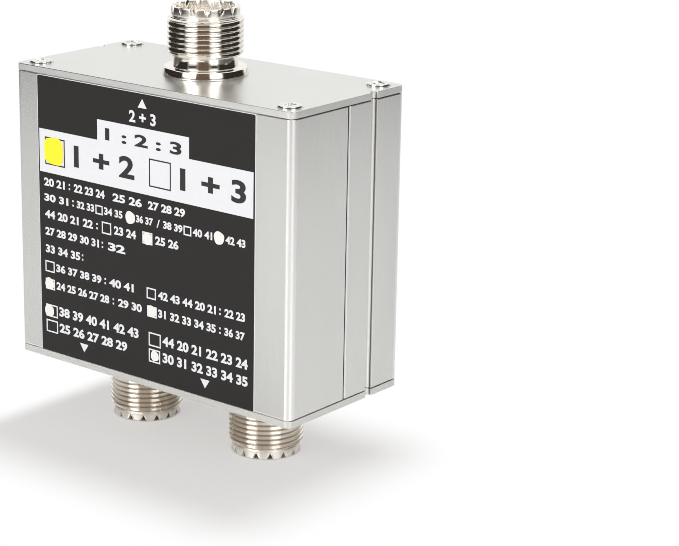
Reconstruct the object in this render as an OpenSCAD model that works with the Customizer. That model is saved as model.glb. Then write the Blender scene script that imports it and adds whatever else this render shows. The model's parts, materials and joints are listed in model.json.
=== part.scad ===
// Two-band antenna duplexer: a split extruded case with one threaded coaxial port on top and two below,
// and a low-pass and a high-pass ladder filter on one board inside.
// +Z is up and the front faces -Y. The origin is centred under the case, on the rims of the lower ports.

/* [Case] */
// Width of the case across its front
case_w = 76; // [70:1:110]
// Depth of the case from front to back
case_d = 36; // [34:1:60]
// Height of the two case shells between the end plates
case_h = 61; // [56:1:110]
// Wall thickness of the case shells
wall_t = 1.8; // [1.4:0.1:2.4]
// Radius of the upright outer corners
corner_r = 1.5; // [0.8:0.1:2.5]
// Thickness of the top and bottom plates
plate_t = 1.6; // [1.2:0.1:3]
// Height of the open joint that runs round the inner rim of each plate
joint_gap = 0.2; // [0.1:0.05:0.4]
// Depth of that joint
joint_depth = 0.6; // [0.3:0.1:0.9]

/* [Seam and groove] */
// Place of the seam between the shells, measured from the middle plane
seam_y = -0.3; // [-2:0.1:0.2]
// Open joint between the two shells
seam_gap = 0.35; // [0.1:0.05:0.5]
// Chamfer on each outer edge of the seam
seam_chamfer = 0.25; // [0.1:0.05:0.5]
// Length of the rear shell's tongue inside the front shell
tongue_len = 2.4; // [1.6:0.1:4]
// Clearance between the tongue and its rebate
tongue_clear = 0.1; // [0.05:0.05:0.2]
// Place of the long groove in the rear shell's sides, measured from the middle plane
groove_y = 7.9; // [6:0.1:9]
// Width of the groove, which is half round
groove_w = 1.9; // [1:0.1:2.4]

/* [Plate screws] */
// Thread diameter of the countersunk screws
screw_d = 3; // [2.5:0.1:3.5]
// Head diameter of the screws
screw_head_d = 5.2; // [4.8:0.1:5.6]
// Length of the screws, head included
screw_len = 9; // [6:0.5:14]
// Distance of each screw from the two nearest faces of the case
screw_inset = 3.9; // [3.6:0.1:5]
// Wall of the screw channels in the shells
channel_wall = 1.2; // [0.9:0.1:1.5]
// Width of the slot along each screw channel
channel_slot = 1; // [0.6:0.1:1.4]
// Clearance around the screws
screw_clear = 0.05; // [0.03:0.01:0.15]

/* [Label] */
// Bare metal left of the label
label_left = 6.6; // [4:0.1:12]
// Bare metal right of the label
label_right = 9.2; // [4:0.1:14]
// Bare metal above and below the label
label_end = 0.3; // [0.1:0.1:5]
// Thickness of the label
label_t = 0.1; // [0.05:0.05:0.3]

/* [Ports] */
// Distance between the two lower ports
port_spacing = 34.4; // [30:0.2:40]
// Diameter of the port flanges
flange_d = 18; // [17:0.2:22]
// Thickness of the port flanges
flange_t = 1.7; // [1:0.1:3]
// Diameter of the neck under the thread
neck_d = 13.6; // [12.6:0.1:14.4]
// Length of the neck
neck_len = 2.4; // [1:0.1:5]
// Outer diameter of the thread
thread_d = 15.8; // [15.5:0.1:16]
// Length of the thread
thread_len = 8.1; // [6:0.1:12]
// Chamfer at both ends of the thread
thread_chamfer = 0.4; // [0.2:0.1:0.6]
// Outer diameter of the notched crown
crown_d = 14.3; // [14:0.1:14.8]
// Length of the crown
crown_len = 2.1; // [1.8:0.1:3]
// Number of notches in the crown
notch_count = 15; // [8:1:18]
// Width of a notch at the rim
notch_w = 1.2; // [0.8:0.1:1.6]
// Depth of a notch
notch_depth = 1.3; // [0.8:0.1:1.7]
// Turn of the first notch of the top, lower left and lower right port
notch_turn = [2.2, 18.3, 5]; // [0:0.1:24]
// Small chamfer on the edges of the port shells
port_chamfer = 0.25; // [0.1:0.05:0.4]
// Diameter of the mouth that takes the plug
mouth_d = 12.2; // [12:0.1:12.6]
// Depth of the mouth down to the insulator
mouth_depth = 6; // [4.5:0.1:7]
// Diameter of the threaded shank that passes through the plate
shank_d = 11; // [10:0.1:12]
// Clearance between a shank and its hole in the plate
shank_clear = 0.2; // [0.1:0.05:0.4]

/* [Insulators and contacts] */
// Ledge in the mouth around the insulator
ledge = 0.2; // [0.1:0.05:0.4]
// Thickness of the insulator's disc
disc_t = 3; // [2:0.1:4]
// Diameter of the insulator's stem inside the shank
stem_d = 8.4; // [7.6:0.1:9]
// Length of the stem that stands out of the shank
stem_over = 1; // [0.5:0.1:3]
// Outer diameter of the contact's socket
contact_d = 5.6; // [5:0.1:6]
// Bore of the contact, which takes the plug's pin
contact_bore_d = 4; // [3.8:0.05:4.2]
// Depth of the contact's bore
contact_bore_len = 9; // [7:0.5:10]
// Metal left under the contact's bore
contact_floor = 1.5; // [1:0.1:3]
// Depth of the contact's end below the face of the insulator
contact_sink = 0.1; // [0:0.05:0.5]
// Width of the two slits across the contact
slit_w = 0.4; // [0.3:0.05:0.6]
// Length of the slits
slit_len = 4; // [2:0.5:6]
// Diameter of the contact's tail
tail_d = 3.2; // [2.4:0.1:4]
// Length of the tail beyond the insulator
tail_len = 6; // [4:0.5:8]
// Clearance between pieces that seat in each other
seat = 0.05; // [0.02:0.01:0.1]

/* [Port fixings] */
// Width across the flats of the nuts
nut_flats = 15; // [13.6:0.2:17]
// Thickness of the nuts
nut_t = 2.5; // [1.8:0.1:4]
// Shank that stands out of the nut
shank_over = 0.8; // [0.4:0.1:2]
// Diameter of the lock washers
washer_d = 15.6; // [14:0.2:18]
// Thickness of the lock washers
washer_t = 0.6; // [0.4:0.1:1]
// Number of teeth inside a lock washer
tooth_count = 10; // [6:1:14]
// Length of a tooth
tooth_len = 1.3; // [0.8:0.1:1.6]
// Gap between two teeth
tooth_gap = 1.2; // [0.8:0.1:1.6]
// Diameter of the ground tags
tag_d = 14.6; // [13.6:0.2:16]
// Sheet thickness of the ground tags
tag_t = 0.5; // [0.3:0.1:0.8]
// Width of a tag's leg
tag_leg_w = 3; // [2:0.1:4]
// Length of a tag's leg along the board
tag_lap = 4; // [2:0.5:6]
// Clearance between a tag's leg and the nut's corner
tag_clear = 0.4; // [0.3:0.1:1]

/* [Filter board] */
// Thickness of the board
board_t = 1.6; // [1:0.1:2.4]
// Solder between the contact tails and the board
solder_t = 0.4; // [0.3:0.05:0.8]
// Length of a solder joint
solder_len = 4; // [2:0.5:5]
// Width of a solder joint's foot on each side of the tail
solder_foot = 1.3; // [0.8:0.1:2]
// Wall of solder beside the tail
solder_wall = 0.5; // [0.3:0.1:0.8]
// Clearance between the board and its slots
slot_clear = 0.1; // [0.05:0.05:0.2]
// Thickness of the ribs that form a slot
rib_t = 1; // [0.7:0.1:1.4]
// Height of the ribs
rib_h = 2; // [1.4:0.1:3]
// Clearance between the board and the insulators
board_clear = 0.4; // [0.3:0.1:1]

/* [Coils and capacitors] */
// Clearance along the board between the end coils and the contact tails
row_clear = 2; // [1:0.2:3]
// Wire of the low-pass coils
lowpass_wire_d = 1.2; // [0.8:0.1:1.4]
// Mean radius of the low-pass coils
lowpass_coil_r = 3.6; // [3:0.1:4]
// Turns of the low-pass coils, a whole number and a half
lowpass_turns = 3.5; // [2.5:1:3.5]
// Wire of the high-pass coils
highpass_wire_d = 1; // [0.8:0.1:1.2]
// Mean radius of the high-pass coils
highpass_coil_r = 2.6; // [2.2:0.1:3]
// Turns of the high-pass coils, a whole number and a half
highpass_turns = 1.5; // [1.5:1:2.5]
// Open space between two turns
turn_gap = 0.8; // [0.5:0.1:1]
// Space between the coils and the board
coil_stand = 1; // [0.5:0.1:2]
// Diameter of the low-pass disc capacitors
lowpass_disc_d = 7.5; // [5:0.1:8]
// Diameter of the high-pass disc capacitors
highpass_disc_d = 6; // [5:0.1:8]
// Thickness of the disc capacitors
cap_t = 2.6; // [2:0.1:3.2]
// Length of the capacitor leads
lead_len = 2; // [1:0.1:4]
// Diameter of the capacitor leads
lead_d = 0.7; // [0.5:0.1:0.8]
// Spacing of the two leads of a capacitor
lead_spacing = 4; // [2.5:0.1:4.4]
// Distance of the shunt parts from the line of their port
shunt_x = 9.6; // [9:0.1:10]

/* [Hidden] */
$fn = 64;
cut = 1;
inner_corner_r = 0.5;
coil_steps = 16;
wire_sides = 6;
port_h = flange_t + neck_len + thread_len + crown_len;
shell_z = port_h + plate_t;
shell_top = shell_z + case_h;
top_z = shell_top + plate_t;
screw_x = case_w / 2 - screw_inset;
screw_y = case_d / 2 - screw_inset;
screw_hole_r = screw_d / 2 + screw_clear;
screw_head_h = (screw_head_d - screw_d) / 2;
shank_len = plate_t + washer_t + tag_t + nut_t + shank_over;
nut_r = nut_flats / 2 / cos(30);
fixing_hole_r = shank_d / 2 + seat;
face_z = port_h - mouth_depth;
disc_r = mouth_d / 2 - ledge;
stem_end = -(shank_len + stem_over);
tail_end = stem_end - tail_len;
socket_top = face_z - contact_sink;
socket_end = socket_top - contact_bore_len - contact_floor;
tag_z = -(plate_t + washer_t + tag_t);
tag_leg_x = nut_r + tag_clear + tag_t;
board_end = shank_len + stem_over - plate_t + board_clear;
board_y = tail_d / 2 + solder_t;
board_w = case_w - 2 * (wall_t + slot_clear);
board_h = case_h - 2 * board_end;
board_z = shell_z + board_end;
board_mid = board_z + board_h / 2;
line_x = port_spacing / 2;
coil_len = lowpass_turns * (lowpass_wire_d + turn_gap) + lowpass_wire_d;
row_step = board_h / 2 - (tail_len - board_clear) - row_clear - coil_len / 2;
tongue_t = wall_t / 2 - tongue_clear;

// Coil geometry: a leg up from the board, the turns, and a leg back down, as one line of points
function coil_leg(r, wire_d) = r + wire_d / 2 + coil_stand;
function turn_point(r, pitch, i) =
    let (a = 180 + 360 * i / coil_steps)
    [r * cos(a), r * sin(a), pitch * i / coil_steps];
function coil_path(r, wire_d, turns) =
    let (pitch = wire_d + turn_gap, leg = coil_leg(r, wire_d))
    concat(
        [[-r, leg, 0]],
        [for (i = [0 : turns * coil_steps]) turn_point(r, pitch, i)],
        [[r, leg, pitch * turns]]
    );
function unit(v) = v / norm(v);
function tangent(path, i) =
    unit(path[min(i + 1, len(path) - 1)] - path[max(i - 1, 0)]);
function wire_ring(path, i, wire_d) =
    let (t = tangent(path, i), u = unit(cross(t, [0, 0, 1])), v = cross(u, t))
    [for (s = [0 : wire_sides - 1])
        path[i] + wire_d / 2 * (cos(360 * s / wire_sides) * u + sin(360 * s / wire_sides) * v)];
// Least distance between the surfaces of stretches of wire half a turn or more apart
function least_gap(path, wire_d) =
    min([for (i = [0 : len(path) - 1])
        for (j = [i + coil_steps / 2 : 1 : len(path) - 1])
            norm(path[i] - path[j])]) - wire_d;
lowpass_path = coil_path(lowpass_coil_r, lowpass_wire_d, lowpass_turns);
highpass_path = coil_path(highpass_coil_r, highpass_wire_d, highpass_turns);
echo(lowpass_coil_least_gap = least_gap(lowpass_path, lowpass_wire_d));
echo(highpass_coil_least_gap = least_gap(highpass_path, highpass_wire_d));

// A round wire along a line of points
module wire(path, wire_d) {
    last = len(path) - 1;
    points = [for (i = [0 : last]) each wire_ring(path, i, wire_d)];
    sides = [for (i = [0 : last - 1], s = [0 : wire_sides - 1])
        let (a = i * wire_sides + s, b = i * wire_sides + (s + 1) % wire_sides)
        each [[a, b, b + wire_sides], [a, b + wire_sides, a + wire_sides]]];
    start_cap = [for (s = [1 : wire_sides - 2]) [0, s + 1, s]];
    end_cap = [for (s = [1 : wire_sides - 2])
        [last * wire_sides, last * wire_sides + s, last * wire_sides + s + 1]];
    polyhedron(points, concat(sides, start_cap, end_cap));
}

module rounded_rect(w, d, r) {
    square([w - 2 * r, d], center = true);
    square([w, d - 2 * r], center = true);
    for (sx = [-1, 1], sy = [-1, 1])
        translate([sx * (w / 2 - r), sy * (d / 2 - r)])
            circle(r);
}

// Draws a shape at the right side of the case and its mirror image at the left
module both_sides() {
    children();
    mirror([1, 0])
        children();
}

module at_screws(rows) {
    for (sx = [-1, 1], sy = rows)
        translate([sx * screw_x, sy * screw_y])
            children();
}

// Wedge that chamfers both edges of the seam at the right face of the case
module seam_wedge() {
    translate([case_w / 2, seam_y])
        polygon([
            [cut, -seam_gap / 2 - seam_chamfer - cut],
            [-seam_chamfer, -seam_gap / 2],
            [-seam_chamfer, seam_gap / 2],
            [cut, seam_gap / 2 + seam_chamfer + cut]
        ]);
}

// Outline that the shells and the end plates share
module case_outline() {
    difference() {
        rounded_rect(case_w, case_d, corner_r);
        both_sides()
            translate([case_w / 2, groove_y])
                circle(groove_w / 2);
    }
}

// Walls and screw channels on one side of the seam: sy is -1 for the front and 1 for the rear
module shell_walls(sy) {
    channel_r = screw_hole_r + channel_wall;
    web = screw_inset - wall_t / 2;
    difference() {
        union() {
            difference() {
                case_outline();
                rounded_rect(case_w - 2 * wall_t, case_d - 2 * wall_t, inner_corner_r);
            }
            at_screws([sy])
                circle(channel_r);
            for (sx = [-1, 1])
                translate([sx * (screw_x + web / 2), sy * (screw_y + web / 2)])
                    square(web, center = true);
        }
        at_screws([sy]) {
            circle(screw_hole_r);
            translate([0, -sy * channel_r / 2])
                square([channel_slot, channel_r + cut], center = true);
        }
        both_sides()
            seam_wedge();
        translate([-case_w, sy < 0 ? seam_y - seam_gap / 2 : seam_y + seam_gap / 2 - 2 * case_d])
            square([2 * case_w, 2 * case_d]);
    }
}

module front_shell() {
    color("silver")
        translate([0, 0, shell_z])
            linear_extrude(case_h)
                difference() {
                    shell_walls(-1);
                    both_sides()
                        translate([case_w / 2 - wall_t - cut, seam_y - tongue_len - tongue_clear])
                            square([wall_t / 2 + cut, tongue_len + case_d / 2]);
                }
}

module rear_shell() {
    rib_x = case_w / 2 - wall_t - rib_h;
    color("silver")
        translate([0, 0, shell_z])
            linear_extrude(case_h) {
                shell_walls(1);
                both_sides() {
                    translate([case_w / 2 - wall_t, seam_y - tongue_len])
                        square([tongue_t, tongue_len + cut]);
                    for (y = [board_y - slot_clear - rib_t, board_y + board_t + slot_clear])
                        translate([rib_x, y])
                            square([rib_h + wall_t / 2, rib_t]);
                }
            }
}

// A plate with its outer face upwards at z = 0, and holes for ports at the given places
module end_plate(port_places) {
    difference() {
        translate([0, 0, -plate_t])
            linear_extrude(plate_t)
                case_outline();
        translate([0, 0, -plate_t - cut])
            linear_extrude(joint_gap + cut)
                difference() {
                    square([case_w + cut, case_d + cut], center = true);
                    rounded_rect(case_w - 2 * joint_depth, case_d - 2 * joint_depth, inner_corner_r);
                }
        for (x = port_places)
            translate([x, 0, -plate_t - cut])
                cylinder(h = plate_t + 2 * cut, r = shank_d / 2 + shank_clear);
        at_screws([-1, 1]) {
            translate([0, 0, -plate_t - cut])
                cylinder(h = plate_t + 2 * cut, r = screw_d / 2 + shank_clear);
            translate([0, 0, -screw_head_h])
                cylinder(
                    h = screw_head_h + cut,
                    r1 = screw_d / 2 + screw_clear,
                    r2 = screw_head_d / 2 + screw_clear + cut
                );
        }
    }
}

module top_plate() {
    color("gainsboro")
        translate([0, 0, top_z])
            end_plate([0]);
}

module bottom_plate() {
    color("gainsboro")
        translate([0, 0, port_h])
            mirror([0, 0, 1])
                end_plate([-line_x, line_x]);
}

// Four countersunk screws with their heads flush at z = 0
module plate_screws() {
    at_screws([-1, 1])
        rotate_extrude()
            polygon([
                [0, -screw_len],
                [screw_d / 2 - port_chamfer, -screw_len],
                [screw_d / 2, -screw_len + port_chamfer],
                [screw_d / 2, -screw_head_h],
                [screw_head_d / 2, 0],
                [0, 0]
            ]);
}

module top_plate_screws() {
    color("lightgrey")
        translate([0, 0, top_z])
            plate_screws();
}

module bottom_plate_screws() {
    color("lightgrey")
        translate([0, 0, port_h])
            mirror([0, 0, 1])
                plate_screws();
}

module face_label() {
    color("dimgrey")
        translate([-case_w / 2 + label_left, -case_d / 2 - label_t, shell_z + label_end])
            cube([case_w - label_left - label_right, label_t, case_h - 2 * label_end]);
}

// Places of the ports, each with z = 0 on the outer face of its plate and z outwards
module at_antenna_port() {
    translate([0, 0, top_z])
        children();
}

module at_low_port() {
    translate([-line_x, 0, port_h])
        mirror([0, 0, 1])
            children();
}

module at_high_port() {
    translate([line_x, 0, port_h])
        mirror([0, 0, 1])
            children();
}

// Turned shell of a port: shank, flange, neck, threaded barrel and notched crown
module port_shell(turn) {
    thread_z = flange_t + neck_len;
    crown_z = thread_z + thread_len;
    thread_r = thread_d / 2;
    color("antiquewhite")
        difference() {
            rotate_extrude()
                polygon([
                    [stem_d / 2, -shank_len],
                    [shank_d / 2 - port_chamfer, -shank_len],
                    [shank_d / 2, -shank_len + port_chamfer],
                    [shank_d / 2, 0],
                    [flange_d / 2, 0],
                    [flange_d / 2, flange_t - port_chamfer],
                    [flange_d / 2 - port_chamfer, flange_t],
                    [neck_d / 2, flange_t],
                    [neck_d / 2, thread_z],
                    [thread_r - thread_chamfer, thread_z],
                    [thread_r, thread_z + thread_chamfer],
                    [thread_r, crown_z - thread_chamfer],
                    [thread_r - thread_chamfer, crown_z],
                    [crown_d / 2, crown_z],
                    [crown_d / 2, port_h - port_chamfer],
                    [crown_d / 2 - port_chamfer, port_h],
                    [mouth_d / 2 + port_chamfer, port_h],
                    [mouth_d / 2, port_h - port_chamfer],
                    [mouth_d / 2, face_z],
                    [disc_r, face_z],
                    [disc_r, face_z - disc_t],
                    [stem_d / 2, face_z - disc_t]
                ]);
            for (i = [0 : notch_count - 1])
                rotate(turn + 360 * i / notch_count)
                    crown_notch();
        }
}

// One notch through the wall of the crown, a wedge along +X with its edge downwards
module crown_notch() {
    spread = notch_w / 2 / notch_depth * cut;
    translate([mouth_d / 2 - cut, 0, port_h])
        rotate([90, 0, 90])
            linear_extrude((crown_d - mouth_d) / 2 + 2 * cut)
                polygon([
                    [0, -notch_depth],
                    [notch_w / 2 + spread, cut],
                    [-notch_w / 2 - spread, cut]
                ]);
}

// Insulator: a disc at the foot of the mouth and a stem down through the shank
module port_insulator() {
    color("white")
        rotate_extrude()
            polygon([
                [tail_d / 2 + seat, stem_end],
                [stem_d / 2 - seat, stem_end],
                [stem_d / 2 - seat, face_z - disc_t],
                [disc_r - seat, face_z - disc_t],
                [disc_r - seat, face_z],
                [contact_d / 2 + seat, face_z],
                [contact_d / 2 + seat, socket_end],
                [tail_d / 2 + seat, socket_end]
            ]);
}

// Centre contact: a slit socket with a tail that is soldered to the board
module port_contact() {
    color("khaki")
        difference() {
            rotate_extrude()
                polygon([
                    [0, tail_end],
                    [tail_d / 2, tail_end],
                    [tail_d / 2, socket_end],
                    [contact_d / 2, socket_end],
                    [contact_d / 2, socket_top],
                    [contact_bore_d / 2, socket_top],
                    [contact_bore_d / 2, socket_top - contact_bore_len],
                    [0, socket_top - contact_bore_len]
                ]);
            for (a = [0, 90])
                rotate(a)
                    translate([-contact_d, -slit_w / 2, socket_top - slit_len])
                        cube([2 * contact_d, slit_w, slit_len + cut]);
        }
}

// Lock washer against the inner face of the plate, with teeth towards the shank
module port_washer() {
    color("darkgrey")
        translate([0, 0, -plate_t - washer_t])
            difference() {
                cylinder(h = washer_t, r = washer_d / 2);
                translate([0, 0, -cut])
                    cylinder(h = washer_t + 2 * cut, r = fixing_hole_r);
                for (i = [0 : tooth_count - 1])
                    rotate(360 * i / tooth_count)
                        translate([0, -tooth_gap / 2, -cut])
                            cube([fixing_hole_r + tooth_len, tooth_gap, washer_t + 2 * cut]);
            }
}

// Ground tag between washer and nut, with a bent leg whose edge lies along the board
module port_tag() {
    leg_end = -(plate_t + board_end + tag_lap);
    leg_y = board_y - seat - tag_leg_w;
    color("lightsteelblue") {
        difference() {
            union() {
                translate([0, 0, tag_z])
                    cylinder(h = tag_t, r = tag_d / 2);
                translate([0, leg_y, tag_z])
                    cube([tag_leg_x, tag_leg_w, tag_t]);
            }
            translate([0, 0, tag_z - cut])
                cylinder(h = tag_t + 2 * cut, r = fixing_hole_r);
        }
        translate([tag_leg_x - tag_t, leg_y, leg_end])
            cube([tag_t, tag_leg_w, tag_z + tag_t - leg_end]);
    }
}

module port_nut() {
    color("gold")
        translate([0, 0, tag_z - nut_t])
            difference() {
                cylinder(h = nut_t, r = nut_r, $fn = 6);
                translate([0, 0, -cut])
                    cylinder(h = nut_t + 2 * cut, r = fixing_hole_r);
            }
}

module antenna_port_shell() {
    at_antenna_port()
        port_shell(notch_turn[0]);
}

module low_port_shell() {
    at_low_port()
        port_shell(notch_turn[1]);
}

module high_port_shell() {
    at_high_port()
        port_shell(notch_turn[2]);
}

// Board that slides into the slots of the rear shell, between the insulators
module filter_board() {
    color("darkgreen")
        translate([-board_w / 2, board_y, board_z])
            cube([board_w, board_t, board_h]);
}

// Solder around the lower half of a contact's tail, down to the board
module tail_solder() {
    foot_w = tail_d / 2 + solder_foot;
    top_w = tail_d / 2 + solder_wall;
    translate([0, 0, tail_end + solder_wall])
        linear_extrude(solder_len)
            difference() {
                polygon([
                    [-foot_w, board_y - seat],
                    [-top_w, 0],
                    [top_w, 0],
                    [foot_w, board_y - seat]
                ]);
                circle(tail_d / 2 + seat);
            }
}

module port_solder_joints() {
    color("slategrey") {
        at_antenna_port()
            tail_solder();
        at_low_port()
            tail_solder();
        at_high_port()
            tail_solder();
    }
}

// A coil on the board, with its axis upright and its middle at the given place
module board_coil(path, x, z, r, wire_d, turns) {
    half = (wire_d + turn_gap) * turns / 2;
    color("chocolate")
        translate([x, board_y - seat - coil_leg(r, wire_d), z - half])
            wire(path, wire_d);
}

// A low-pass coil, in series along the line to the lower left port
module lowpass_coil(row) {
    board_coil(
        lowpass_path, -line_x, board_mid + row * row_step,
        lowpass_coil_r, lowpass_wire_d, lowpass_turns
    );
}

// A high-pass coil, from the line to the lower right port to ground
module highpass_coil(row) {
    board_coil(
        highpass_path, line_x + shunt_x, board_mid + row * row_step,
        highpass_coil_r, highpass_wire_d, highpass_turns
    );
}

// A disc capacitor on two leads, standing square to the board
module disc_capacitor(x, z, disc_d, tint) {
    edge = cap_t / 3;
    disc_y = board_y - seat - lead_len - disc_d / 2;
    color(tint)
        translate([x, disc_y, z]) {
            rotate_extrude()
                polygon([
                    [0, -cap_t / 2],
                    [disc_d / 2 - edge, -cap_t / 2],
                    [disc_d / 2, -cap_t / 2 + edge],
                    [disc_d / 2, cap_t / 2 - edge],
                    [disc_d / 2 - edge, cap_t / 2],
                    [0, cap_t / 2]
                ]);
            for (s = [-1, 1])
                translate([s * lead_spacing / 2, 0, 0])
                    rotate([-90, 0, 0])
                        cylinder(h = lead_len + disc_d / 2, r = lead_d / 2);
        }
}

module lowpass_capacitor(row) {
    disc_capacitor(-line_x - shunt_x, board_mid + row * row_step, lowpass_disc_d, "peru");
}

module highpass_capacitor(row) {
    disc_capacitor(line_x, board_mid + row * row_step, highpass_disc_d, "steelblue");
}

front_shell();
rear_shell();
top_plate();
bottom_plate();
top_plate_screws();
bottom_plate_screws();
face_label();
antenna_port_shell();
at_antenna_port() port_insulator();  // antenna_port_insulator
at_antenna_port() port_contact();  // antenna_port_contact
at_antenna_port() port_washer();  // antenna_port_washer
at_antenna_port() port_tag();  // antenna_port_tag
at_antenna_port() port_nut();  // antenna_port_nut
low_port_shell();
at_low_port() port_insulator();  // low_port_insulator
at_low_port() port_contact();  // low_port_contact
at_low_port() port_washer();  // low_port_washer
at_low_port() port_tag();  // low_port_tag
at_low_port() port_nut();  // low_port_nut
high_port_shell();
at_high_port() port_insulator();  // high_port_insulator
at_high_port() port_contact();  // high_port_contact
at_high_port() port_washer();  // high_port_washer
at_high_port() port_tag();  // high_port_tag
at_high_port() port_nut();  // high_port_nut
filter_board();
port_solder_joints();
lowpass_coil(1);  // lowpass_coil_1
lowpass_coil(0);  // lowpass_coil_2
lowpass_coil(-1);  // lowpass_coil_3
lowpass_capacitor(0.5);  // lowpass_capacitor_1
lowpass_capacitor(-0.5);  // lowpass_capacitor_2
highpass_coil(0.5);  // highpass_coil_1
highpass_coil(-0.5);  // highpass_coil_2
highpass_capacitor(1);  // highpass_capacitor_1
highpass_capacitor(0);  // highpass_capacitor_2
highpass_capacitor(-1);  // highpass_capacitor_3
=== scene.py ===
# %% [markdown]
# # Antenna duplexer
# The object is a flat aluminium box with one threaded coaxial port on top and two below. Its
# construction is finished and fixed, so this lesson only dresses it: real threads, cross
# recesses, rounded edges, a printed label and a finish for every piece. Every place is read from
# the fixed model where it can be. Sizes in this file are millimetres unless a name says
# otherwise.

# %% Load the fixed model
import json
import math

import bmesh
import bpy
import numpy as np
from mathutils import Matrix, Vector


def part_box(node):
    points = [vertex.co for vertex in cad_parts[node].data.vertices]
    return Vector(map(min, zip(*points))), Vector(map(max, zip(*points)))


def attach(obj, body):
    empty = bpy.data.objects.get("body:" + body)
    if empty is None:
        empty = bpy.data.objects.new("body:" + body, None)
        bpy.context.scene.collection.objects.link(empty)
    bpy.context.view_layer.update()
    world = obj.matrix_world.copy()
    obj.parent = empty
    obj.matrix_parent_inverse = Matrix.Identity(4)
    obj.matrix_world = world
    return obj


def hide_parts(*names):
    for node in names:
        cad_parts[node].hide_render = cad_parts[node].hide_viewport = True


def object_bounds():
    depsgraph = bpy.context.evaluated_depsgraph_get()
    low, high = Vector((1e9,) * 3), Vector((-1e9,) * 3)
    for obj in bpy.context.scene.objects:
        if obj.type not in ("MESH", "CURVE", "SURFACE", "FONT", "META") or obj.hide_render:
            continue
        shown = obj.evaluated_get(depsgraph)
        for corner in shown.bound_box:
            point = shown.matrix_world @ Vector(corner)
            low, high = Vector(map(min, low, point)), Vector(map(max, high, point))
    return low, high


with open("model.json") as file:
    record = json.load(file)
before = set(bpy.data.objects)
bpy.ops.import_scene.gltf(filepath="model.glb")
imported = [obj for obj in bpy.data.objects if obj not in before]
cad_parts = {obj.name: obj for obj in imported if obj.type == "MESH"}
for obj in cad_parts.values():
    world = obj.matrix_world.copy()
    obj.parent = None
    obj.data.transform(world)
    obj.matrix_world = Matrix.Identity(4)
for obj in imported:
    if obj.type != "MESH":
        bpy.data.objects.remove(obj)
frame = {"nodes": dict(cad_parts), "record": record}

MM = 0.001
cad_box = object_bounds()
print("model", [round(side / MM, 1) for side in cad_box[1] - cad_box[0]], "mm")


def box_mm(node):
    """Lowest and highest corner of a fixed piece, in millimetres."""
    low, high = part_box(node)
    return np.array(low) / MM, np.array(high) / MM


# %% [markdown]
# ## Camera
# The camera could be placed by eye. Here its direction, distance and focal length come from the
# corners, seams, screws and threads of the photograph, so the picture can be laid over it. The
# long lens keeps the upright edges nearly parallel. The object stands left of the middle, which a
# small lens shift gives.

# %% Place the camera
IMAGE_W, IMAGE_H = 679, 546
SENSOR_W = 36
azimuth, elevation, roll = np.radians([41.25, 15.72, 0.10])
camera_distance = 449.9
camera_target = Vector((1.32, 0, 42.76))
focal_px = 2125.4
optical_centre_px = (210, 240)

back = Vector((
    math.sin(azimuth) * math.cos(elevation),
    -math.cos(azimuth) * math.cos(elevation),
    math.sin(elevation),
))
lens = bpy.data.cameras.new("camera")
lens.sensor_width = SENSOR_W
lens.lens = focal_px / IMAGE_W * SENSOR_W
lens.shift_x = (IMAGE_W / 2 - optical_centre_px[0]) / IMAGE_W
lens.shift_y = (optical_centre_px[1] - IMAGE_H / 2) / IMAGE_W
lens.clip_end = 20
camera = bpy.data.objects.new("camera", lens)
camera.matrix_world = (
    Matrix.Translation((camera_target + back * camera_distance) * MM)
    @ back.to_track_quat("Z", "Y").to_matrix().to_4x4()
    @ Matrix.Rotation(roll, 4, "Z")
)
bpy.context.scene.collection.objects.link(camera)
bpy.context.scene.camera = camera
print("lens", round(lens.lens, 1), "mm, shift", round(lens.shift_x, 3), round(lens.shift_y, 3))

# %% [markdown]
# ## Formulas as nodes
# A finish is a formula over the surface. Adding nodes one by one hides that formula, so a small
# class wraps a socket: arithmetic on it adds Math nodes, and one method adds any other node.


# %% A socket that can be used in arithmetic
class Signal:
    """One socket of a node tree. Arithmetic with it adds Math nodes to the same tree."""

    def __init__(self, tree, socket=None):
        self.tree = tree
        self.socket = socket

    def node(self, kind, sockets=None, settings=None, output=0):
        """Adds a node: first its settings are set, then its sockets get values or links."""
        made = self.tree.nodes.new(kind)
        for key, value in (settings or {}).items():
            setattr(made, key, value)
        for key, value in (sockets or {}).items():
            if isinstance(value, Signal):
                self.tree.links.new(value.socket, made.inputs[key])
            else:
                made.inputs[key].default_value = value
        return Signal(self.tree, made.outputs[output]) if made.outputs else None

    def math(self, operation, first, second=0.0):
        """One Math node on one or two values."""
        return self.node("ShaderNodeMath", {0: first, 1: second}, {"operation": operation})

    def __add__(self, other):
        return self.math("ADD", self, other)

    def __sub__(self, other):
        return self.math("SUBTRACT", self, other)

    def __rsub__(self, other):
        return self.math("SUBTRACT", other, self)

    def __mul__(self, other):
        return self.math("MULTIPLY", self, other)

    def __truediv__(self, other):
        return self.math("DIVIDE", self, other)

    __radd__ = __add__
    __rmul__ = __mul__


# %% Small formulas that several finishes share
HAIR_RISE, CRISP_RISE, SOFT_RISE = 0.02, 0.05, 0.1  # widths over which a shade rises


def clamped(signal):
    """A value held between 0 and 1."""
    return signal.node("ShaderNodeClamp", {"Value": signal})


def step_up(signal, start, width):
    """0 below start, 1 above start + width, and a straight rise between."""
    return clamped((signal - start) / width)


def smooth_step(signal, start, width):
    """The same rise with soft ends: t * t * (3 - 2 t)."""
    t = step_up(signal, start, width)
    return t * t * (3 - 2 * t)


def mixed(factor, first, second):
    """A colour that goes from the first to the second as factor goes from 0 to 1."""
    sockets = {0: factor, 6: first, 7: second}
    return factor.node("ShaderNodeMix", sockets, {"data_type": "RGBA"}, output=2)


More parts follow.
